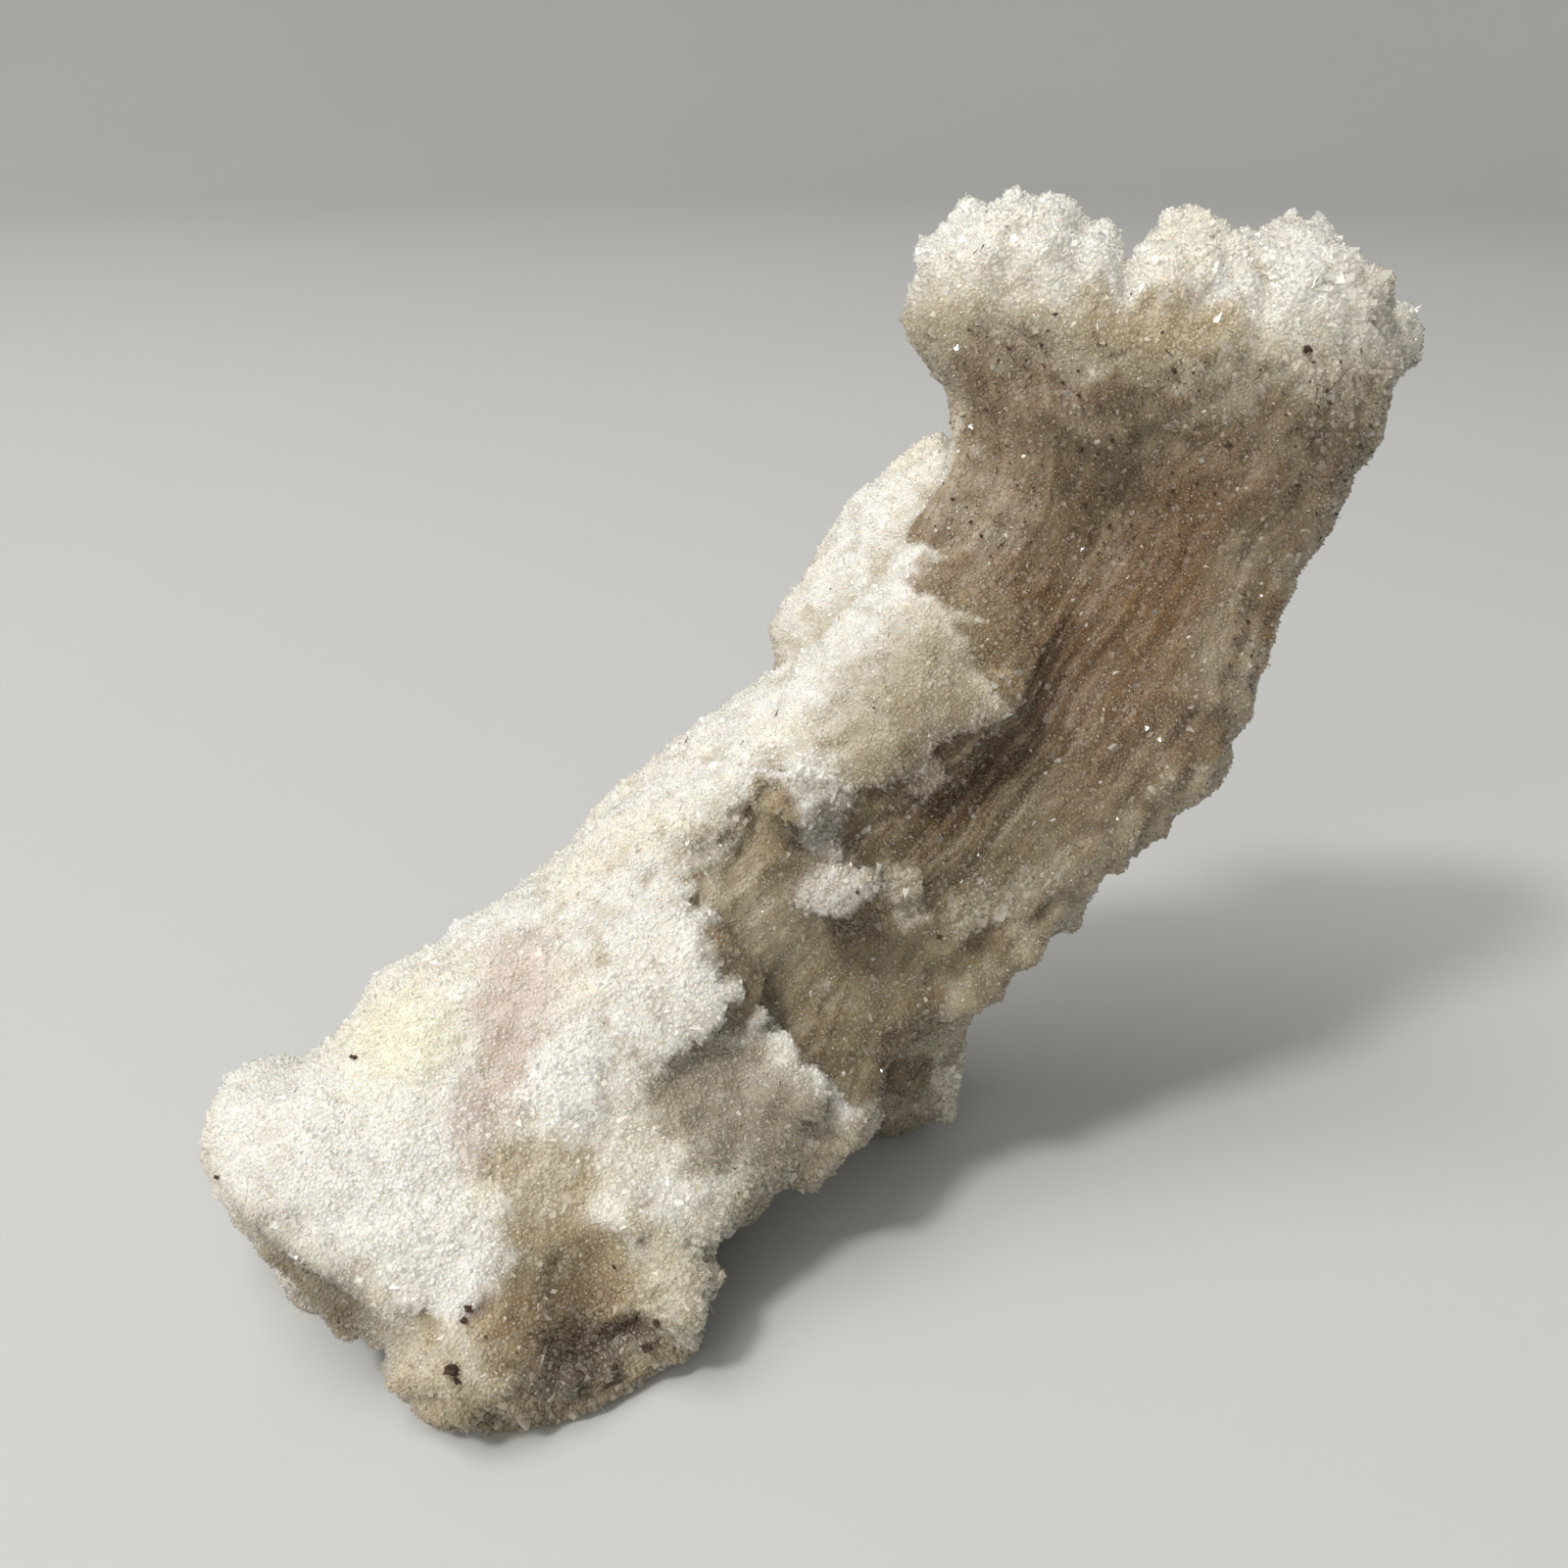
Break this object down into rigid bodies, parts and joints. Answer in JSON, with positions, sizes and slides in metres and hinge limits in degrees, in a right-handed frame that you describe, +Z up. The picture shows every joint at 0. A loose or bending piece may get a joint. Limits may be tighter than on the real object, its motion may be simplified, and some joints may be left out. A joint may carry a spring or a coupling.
{
  "type": "ram horn selenite specimen",
  "caption": "Bent, horn-shaped selenite specimen with a sugary crystal crust, a fluted neck and a flared, scalloped end, resting on low lobes.",
  "frame": {"origin": "bottom centre of the bounding box, on the surface that the specimen rests on", "axes": "+Z up; +X from the low, thick head towards the raised, flared end; the open, fluted side looks to -Y"},
  "size_m": [0.132, 0.0518, 0.1023],
  "materials": {
    "selenite": "frosted, sugary crust of small gypsum crystals, white on the crown and tan in the hollows, with satin fibres where the crust is missing"
  },
  "bodies": {
    "root": {"selenite_horn": "selenite"}
  },
  "joints": []
}
